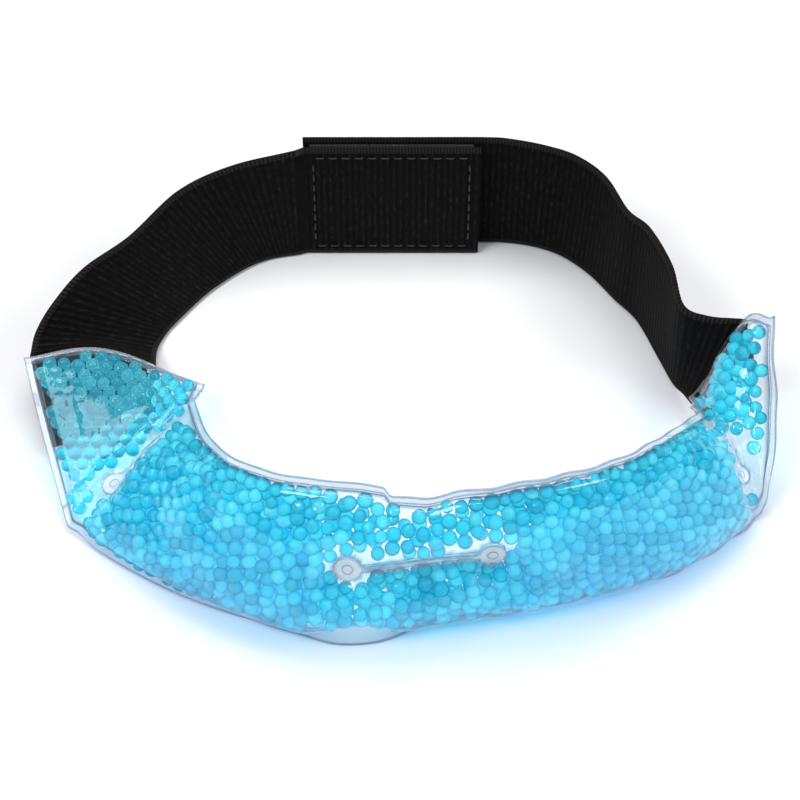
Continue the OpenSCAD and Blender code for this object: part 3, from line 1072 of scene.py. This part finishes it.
def weld_lines(weld):
    """Lines in space: the weld's outline and a ring on each pad."""
    (q0, v0), (q1, v1) = weld["pads"]
    first, second = at(q0, v0), at(q1, v1)
    _, ways = pouch(np.array([q0, q1]), np.array([v0, v1]))
    ahead = unit(second - first)
    side = unit(np.cross(unit(ways.sum(0)), ahead))

    def arc(middle, radius, low, high):
        turn = np.linspace(low, high, 41)[:, None]
        return middle + radius * (np.cos(turn) * ahead + np.sin(turn) * side)

    gaps = [math.asin(weld["neck"] / radius) for radius in weld["radii"]]
    outline = np.vstack([
        arc(second, weld["radii"][1], gaps[1] - math.pi, math.pi - gaps[1]),
        arc(first, weld["radii"][0], gaps[0], 2 * math.pi - gaps[0]),
    ])
    lines = [np.vstack([outline, outline[:1]])]
    for pad, radius in zip((first, second), weld["radii"]):
        lines.append(arc(pad, radius * RING_SHARE, 0, 2 * math.pi))
    shaped = []
    for line in lines:
        line = resampled(line, RIDGE_PITCH)
        share = np.clip((line - first) @ ahead / np.linalg.norm(second - first), 0, 1)
        shaped.append(nearest(line, mix(q0, q1, share), mix(v0, v1, share)))
    return shaped


def seal_shares(q):
    """Where the two long seals run across the pouch."""
    low = (RIM + FLAP * bump(q, FLAP_Q, FLAP_HALF_Q)) / width_at(q)
    return low, 1 - (RIM + dip(q)) / width_at(q)


def end_seal(side):
    """The seal round an end chamber, from the join along one edge and back by the other."""
    q_join = Q_LEFT_JOIN if side < 0 else Q_RIGHT_JOIN
    q_cut = 0.0 if side < 0 else Q_END
    low, high = seal_shares(np.array(q_cut))
    v = np.linspace(low, high, 90)
    near = RIM / STATION_L / (1 + (left_bow(v) if side < 0 else right_bow(v)))
    q = near if side < 0 else Q_END - near
    out = np.linspace(q_join, q[0], 90)[:-1]
    back = np.linspace(q[-1], q_join, 90)[1:]
    return (np.concatenate([out, q, back]),
            np.concatenate([seal_shares(out)[0], v, seal_shares(back)[1]]))


def ridge_piece(name, lines, edge_away):
    """Thin raised lines on both sheets along the places given."""
    parts = []
    for q, v in lines:
        places, ways = pouch(q, v)
        wave = ruffles(q, np.full_like(q, edge_away))
        for height in (ON_FILM, -ON_FILM):
            parts.append(tube(places + ways * (height + wave)[:, None], RIDGE_R))
    piece = mesh_object(name, *joined(parts), RIDGE)
    return piece


main_q = np.linspace(Q_LEFT_JOIN, Q_RIGHT_JOIN, 560)
low_v, high_v = seal_shares(main_q)
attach(ridge_piece("long_seal_ridges", [(main_q, low_v), (main_q, high_v)], RIM), "pouch")
all_weld_lines = [one for weld in WELDS for one in weld_lines(weld)]
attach(ridge_piece("weld_ridges", all_weld_lines, NO_RUFFLE), "pouch")
for end, side in (("left_end", -1), ("right_end", 1)):
    turn_with(ridge_piece(f"{end}_seal_ridge", [end_seal(side)], RIM))

# ---- webbing ---------------------------------------------------------------------------

STRAP_T = 1.6 * MM
RIB = 1.9 * MM
WEB_PITCH = RIB / 7
LOOSE = 0.3 * MM
END_BACK = 2.0 * MM
SEAM_GAP = 2.0 * MM
SELVEDGE = (1.3 * MM, 1.9 * MM)
# The webbing's thickness between its ribs and on them, as shares; then on the selvedge.
RIB_SHARES = (0.80, 0.97)
TICK_SHARES = (0.86, 1.0)
GROOVE = 0.22
WEB_ROUND = 0.8 * MM
DRAWN_OVER = 1.5
STRAP_BACK = 0.4 * MM + LOOSE + STRAP_T / 2
LEFT_LAST = float(len(LEFT_WEB) - 1)
RIGHT_LAST = float(len(RIGHT_WEB) - 1)
LEFT_SPLIT = 4.0
# What differs between the left strap (-1) and the right one (1): the end chamber's rails
# and cut end, the webbing's rails and first place, the share of the chamber's width that
# the webbing covers, and the length that lies behind the chamber.
SIDES = {
    -1: {"end": LEFT_END, "cut": 0.0, "place": left_place, "web": LEFT_WEB, "first": 0.0,
         "cover": (0.04, 0.74), "anchor": 30 * MM},
    1: {"end": RIGHT_END, "cut": 2.0, "place": right_place, "web": RIGHT_WEB,
        "first": RIGHT_LAST, "cover": (0.36, 0.98), "anchor": 10 * MM},
}


def webbing(name, middle, start):
    """Ribbed webbing about a middle surface: rows along it and columns across it."""
    rows, cols = middle.shape[:2]
    way = unit(np.cross(np.gradient(middle, axis=0), middle[:, -1:] - middle[:, :1]))
    along = start + run_along(middle[:, cols // 2])
    widths = np.linalg.norm(np.diff(middle, axis=1), axis=2)
    across = np.concatenate([np.zeros((rows, 1)), np.cumsum(widths, axis=1)], axis=1)
    along = np.repeat(along[:, None], cols, axis=1)
    off_edge = np.minimum(across, across[:, -1:] - across)
    selvedge = 1 - ease(off_edge, *SELVEDGE)
    rib = 0.5 + 0.5 * np.cos(2 * math.pi * along / RIB)
    tick = 0.5 + 0.5 * np.cos(4 * math.pi * along / RIB)
    groove = bump(off_edge, SELVEDGE[1], 0.5 * MM)
    half = STRAP_T / 2 * mix(*RIB_SHARES, rib) * (1 - GROOVE * groove)
    half = mix(half, STRAP_T / 2 * mix(*TICK_SHARES, tick), selvedge)
    half = half * shoulder((off_edge + 0.05 * MM) / WEB_ROUND)
    under = middle - way * half[..., None]
    over = middle + way * half[..., None]
    piece = mesh_object(name, np.stack([under, over]), slab_faces(rows, cols), WEBBING)
    both = np.stack([along, across, np.zeros_like(along)], axis=-1)
    store(piece, "cloth", np.stack([both, both + (0, 0, 0.01)]), "FLOAT_VECTOR", "vector")
    store(piece, "selvedge", np.stack([selvedge, selvedge]))
    # The rib and tick crests, which the material paints lighter as painted highlight.
    crest_highlight = mix(rib, tick, selvedge)
    store(piece, "rib", np.stack([crest_highlight, crest_highlight]))
    return piece, float(along[-1, 0] - start)


ACROSS_WEB = np.concatenate([
    np.linspace(0, 0.05, 9), np.linspace(0.07, 0.93, 30), np.linspace(0.95, 1, 9)])


def strap_start(side, v):
    """The line a strap leaves its end chamber along, past the cut end."""
    own = SIDES[side]
    y = mix(*own["cover"], v)
    place = own["place"](np.full_like(y, own["cut"]), y) + side * SEAM_GAP / STATION_L
    return band(own["end"], place, y) - facing(own["end"], place, y) * STRAP_BACK


def strap_point(side, t, v):
    """The webbing's middle surface, drawn to its start line over the first stretch."""
    rails, first = SIDES[side]["web"], SIDES[side]["first"]
    drawn = np.clip(1 - np.abs(t - first) / DRAWN_OVER, 0, 1) ** 2
    shift = strap_start(side, v) - band(rails, np.full_like(v, first), v)
    return band(rails, t, v) + shift * drawn[..., None]


def anchor_surface(side, depth, v):
    """Middle surface of the webbing that lies flat behind an end chamber."""
    own = SIDES[side]
    y = mix(*own["cover"], v)
    place = own["place"](own["cut"] - side * depth / STATION_L, y)
    full = END_BACK * shoulder(depth / (7 * MM)) * ease(depth, 0.5 * MM, 6 * MM)
    back = (STRAP_BACK + full)[..., None]
    return band(own["end"], place, y) - facing(own["end"], place, y) * back


def strap_grid(side, t_from, t_to):
    """Points of the webbing's middle surface in rows that lie WEB_PITCH apart."""
    t = np.linspace(t_from, t_to, 400)
    run = run_along(strap_point(side, t, np.full_like(t, 0.5)))
    count = max(2, int(run[-1] / WEB_PITCH))
    even = np.interp(np.linspace(0, run[-1], count + 1), run, t)
    return strap_point(side, *np.meshgrid(even, ACROSS_WEB, indexing="ij"))


def strap_piece(name, side, t_from, t_to):
    """Webbing from place t_from to t_to, with its anchor behind the end chamber."""
    depth = np.linspace(SIDES[side]["anchor"], 0.2 * MM, 110)
    under = anchor_surface(side, *np.meshgrid(depth, ACROSS_WEB, indexing="ij"))
    free = strap_grid(side, t_from, t_to)
    middle = np.concatenate([under, free] if side < 0 else [free, under[::-1]])
    return webbing(name, middle, 0.0)


def strap_at(side, t):
    return strap_point(side, np.array([t]), np.array([0.5]))[0]


CLOSURE_LEAN = math.radians(1.15)
TAB_X = -29 * MM
TAB_Y = 67 * MM
FLAP_Y = 72.2 * MM
OVERLAP = 53 * MM
STRAP_W = 40 * MM
CORNER = np.array(CENTRE) * MM + (TAB_X, 0, 0.2 * MM)


def layer(depth_y, x, y, z):
    """A place in a closure layer: x along the strap, y its depth and z up, as arrays."""
    cos, sin = math.cos(CLOSURE_LEAN), math.sin(CLOSURE_LEAN)
    return np.stack([x, y * cos - z * sin + depth_y, y * sin + z * cos], axis=-1) + CORNER


strap, left_l = strap_piece("left_strap_webbing", -1, 0.0, LEFT_SPLIT)
strap_at(-1, 0.0)
strap_at(-1, 0.5)
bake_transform(strap)
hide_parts("left_anchor", "left_strap")

# The left strap's far half and the closure tab are one run of webbing.
far_half = strap_grid(-1, LEFT_SPLIT, LEFT_LAST)
xx, vv = np.meshgrid(np.linspace(0.4 * MM, OVERLAP, 190), ACROSS_WEB, indexing="ij")
tab = layer(TAB_Y, xx, np.zeros_like(xx), STRAP_W * (1 - vv))
strap, tab_l = webbing("closure_tab_webbing", np.concatenate([far_half, tab]), left_l)
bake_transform(strap)
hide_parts("closure_tab")

strap, right_l = strap_piece("right_strap_webbing", 1, 0.0, RIGHT_LAST)
strap_at(1, RIGHT_LAST)
strap_at(1, RIGHT_LAST - 0.5)
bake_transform(strap)
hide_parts("right_anchor", "right_strap")

# ---- stitches and closure patches ------------------------------------------------------

THREAD_R = 0.2 * MM
STITCH_L = 2.4 * MM
STITCH_PITCH = 3.6 * MM
SEAM_IN = 1.4 * MM
ANCHOR_STITCHES = 10
PATCH_BASE = 0.6 * MM
PATCH_MARGIN = 2 * MM
STITCH_INSET = 1.2 * MM
WEB_CLEAR = 0.02 * MM


def fixed(piece, body, node):
    """Makes a piece follow one body, and hides the part of the frame that it stands for."""
    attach(piece, body)
    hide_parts(node)


def stitch(start, end, out):
    """One stitch: a thread that rises from its hole, runs along and dips again."""
    share = np.linspace(0, 1, 9)[:, None]
    rise = THREAD_R * 1.1 * np.sin(math.pi * share) ** 0.5
    return tube(mix(np.asarray(start), np.asarray(end), share) + out * rise, THREAD_R, 8)


def anchor_seam(label, side):
    """The row of stitches that holds the webbing to an end chamber's rim."""
    q = SEAM_IN / STATION_L if side < 0 else Q_END - SEAM_IN / STATION_L
    cover = SIDES[side]["cover"]
    parts = []
    for i in range(ANCHOR_STITCHES):
        middle_v = mix(*cover, (i + 0.5) / ANCHOR_STITCHES)
        half_v = STITCH_L / 2 / width_at(q)
        ends_v = np.array([middle_v - half_v, middle_v + half_v])
        ends_q = np.full(2, q)
        places, ways = pouch(ends_q, ends_v)
        height = ON_FILM + ruffles(ends_q, np.full(2, SEAM_IN))
        places = places + ways * height[:, None]
        parts.append(stitch(places[0], places[1], ways[0]))
    piece = mesh_object(f"{label}_anchor_seam", *joined(parts), WHITE_THREAD)
    fixed(piece, f"{label}_end", f"{label}_anchor_stitches")


def patch_seam(name, depth, face, out, node, body):
    """Stitches round a closure patch, on the webbing's face at the depth given."""
    inset = PATCH_MARGIN + STITCH_INSET
    long, high = OVERLAP - 2 * inset, STRAP_W - 2 * inset
    along, up = int(long / STITCH_PITCH), int(high / STITCH_PITCH) - 1
    half = STITCH_L / 2
    ends = []
    for z in (inset, STRAP_W - inset):
        for i in range(along):
            x = inset + (i + 0.5) * long / along
            ends.append(((x - half, z), (x + half, z)))
    for x in (inset, OVERLAP - inset):
        for i in range(up):
            z = inset + (i + 1) * high / (up + 1)
            ends.append(((x, z - half), (x, z + half)))
    way = layer(0, 0, out, 0) - layer(0, 0, 0, 0)
    parts = [stitch(layer(depth, a[0], face, a[1]), layer(depth, b[0], face, b[1]), way)
             for a, b in ends]
    fixed(mesh_object(name, *joined(parts), THREAD), body, node)


def patch_base(depth, face, out):
    """The patch's backing, rounded off at its edges."""
    x = np.linspace(PATCH_MARGIN, OVERLAP - PATCH_MARGIN, 91)
    z = np.linspace(PATCH_MARGIN, STRAP_W - PATCH_MARGIN, 67)
    xx, zz = np.meshgrid(x, z, indexing="ij")
    edge = np.minimum(np.minimum(xx - x[0], x[-1] - xx), np.minimum(zz - z[0], z[-1] - zz))
    thick = PATCH_BASE * mix(0.35, 1, shoulder(edge / (0.9 * MM)))
    near = layer(depth, xx, np.full_like(xx, face), zz)
    far = layer(depth, xx, face + out * thick, zz)
    under, over = (near, far) if out < 0 else (far, near)
    return np.stack([under, over]).reshape(-1, 3), slab_faces(*xx.shape)


HOOK_BEND = MM * np.array(
    [(0, 0), (0, 0.32), (0.03, 0.56), (0.13, 0.74), (0.29, 0.76), (0.38, 0.62)])
HOOK_R = 0.085 * MM
HOOK_PITCH = 1.45 * MM
HOOK_INSET = PATCH_MARGIN + 1.0 * MM
PILE_LOOPS = 1500
PILE_INSET = PATCH_MARGIN + 0.9 * MM
ROOT = PATCH_BASE * 0.9
PILE_R = 0.07 * MM


def hooks(depth, face, out):
    """Rows of small moulded hooks, each row facing the other way from the last."""
    base = face + out * ROOT
    parts = []
    places = np.arange(HOOK_INSET, OVERLAP - HOOK_INSET, HOOK_PITCH)
    for r, z in enumerate(np.arange(HOOK_INSET, STRAP_W - HOOK_INSET, HOOK_PITCH)):
        lean = 1 if r % 2 else -1
        for x in places + 0.5 * HOOK_PITCH * (r % 2):
            path = layer(depth, x + lean * HOOK_BEND[:, 0], base + out * HOOK_BEND[:, 1],
                         np.full(len(HOOK_BEND), z))
            parts.append(tube(path, HOOK_R, 5))
    return joined(parts)


def pile(depth, face, out):
    """A felt of fine loops that stand every way."""
    draw = np.random.default_rng(31)
    base = face + out * ROOT
    share = np.linspace(0, math.pi, 7)
    parts = []
    for _ in range(PILE_LOOPS):
        x = draw.uniform(PILE_INSET, OVERLAP - PILE_INSET)
        z = draw.uniform(PILE_INSET, STRAP_W - PILE_INSET)
        turn = draw.uniform(0, math.pi)
        wide, high = draw.uniform(0.3, 0.75) * MM, draw.uniform(0.45, 0.8) * MM
        run = wide * np.cos(share)
        path = layer(depth, x + run * math.cos(turn), base + out * high * np.sin(share),
                     z + run * math.sin(turn))
        parts.append(tube(path, PILE_R, 4))
    return joined(parts)


def patch_piece(name, material, depth, face, out, fuzz, node, body):
    """A closure patch: its backing, and its hooks or loops as a second piece on it."""
    for title, shape in ((name, patch_base), (name + "_" + fuzz.__name__, fuzz)):
        fixed(mesh_object(title, *shape(depth, face, out), material), body, node)


HALF_T = STRAP_T / 2
anchor_seam("left", -1)
anchor_seam("right", 1)
patch_seam("hook_patch_seam", TAB_Y, -HALF_T - WEB_CLEAR, -1, "hook_stitches", "closure_tab")
patch_seam("loop_patch_seam", FLAP_Y, HALF_T + WEB_CLEAR * 6, 1, "loop_stitches", "right_strap")
patch_piece("hook_tape", HOOK, TAB_Y, HALF_T + WEB_CLEAR, 1, hooks, "hook_patch",
            "closure_tab")
patch_piece("loop_tape", PILE, FLAP_Y, -HALF_T - WEB_CLEAR, -1, pile, "loop_patch",
            "right_strap")

# ---- camera, light and floor -----------------------------------------------------------

AIM = np.array(CENTRE) * MM
CAMERA_AWAY = 0.6
CAMERA_UP = math.radians(43)
LENS = 94.5
camera_data = bpy.data.cameras.new("camera")
camera_data.sensor_width = 36
camera_data.lens = LENS
camera = bpy.data.objects.new("camera", camera_data)
camera.location = AIM + (0, -CAMERA_AWAY * math.cos(CAMERA_UP), CAMERA_AWAY * math.sin(CAMERA_UP))
camera.rotation_euler = (math.pi / 2 - CAMERA_UP, 0, 0)
scene.collection.objects.link(camera)
scene.camera = camera


def area_light(name, place, size, power, colour=(1, 1, 1)):
    data = bpy.data.lights.new(name, "AREA")
    data.shape = "RECTANGLE"
    data.size, data.size_y = size
    data.energy = power
    data.color = colour
    light = bpy.data.objects.new(name, data)
    light.location = place
    from_aim = unit(np.array(place) - AIM)
    light.rotation_euler = (math.acos(from_aim[2]), 0, math.atan2(from_aim[0], -from_aim[1]))
    scene.collection.objects.link(light)


area_light("softbox_top", (0.0, 0.25, 1.15), (1.0, 0.6), 8.0)
area_light("softbox_left", (-0.55, -0.45, 0.85), (0.5, 0.35), 6.2, (0.95, 0.96, 1.0))
area_light("softbox_right", (0.75, -0.25, 0.7), (0.4, 0.4), 4.2)

world = bpy.data.worlds.new("studio")
world.use_nodes = True
sky = world.node_tree.nodes
sky_way = sky.new("ShaderNodeTexCoord")
sky_parts = sky.new("ShaderNodeSeparateXYZ")
sky_ramp = sky.new("ShaderNodeValToRGB")
world.node_tree.links.new(sky_way.outputs["Generated"], sky_parts.inputs[0])
world.node_tree.links.new(sky_parts.outputs[2], sky_ramp.inputs[0])
world.node_tree.links.new(sky_ramp.outputs[0], sky["Background"].inputs["Color"])
SKY = [(0.0, (0.05, 0.055, 0.065)), (0.35, (0.12, 0.13, 0.15)), (0.85, (0.30, 0.31, 0.33))]
set_stops(sky_ramp.color_ramp, SKY)
scene.world = world

floor_nodes = Nodes("white_floor")
grain = floor_nodes.noise(floor_nodes.add("TexCoord").outputs["Object"], 40.0)
floor_colour = floor_nodes.ramp(grain, [(0.3, (0.86, 0.86, 0.865)), (0.7, (0.88, 0.88, 0.885))])
floor_shader = floor_nodes.add("BsdfPrincipled", Base_Color=floor_colour, Roughness=0.6)
FLOOR_HALF = 3.0
floor = mesh_object(
    "floor",
    [(-FLOOR_HALF, -FLOOR_HALF, 0), (FLOOR_HALF, -FLOOR_HALF, 0),
     (FLOOR_HALF, FLOOR_HALF, 0), (-FLOOR_HALF, FLOOR_HALF, 0)],
    [(0, 1, 2, 3)], floor_nodes.finish(floor_shader.outputs[0]), smooth=False)

scene.view_settings.view_transform = "Standard"
scene.cycles.max_bounces = 24
scene.cycles.transmission_bounces = 20
scene.cycles.transparent_max_bounces = 48
scene.cycles.use_denoising = True
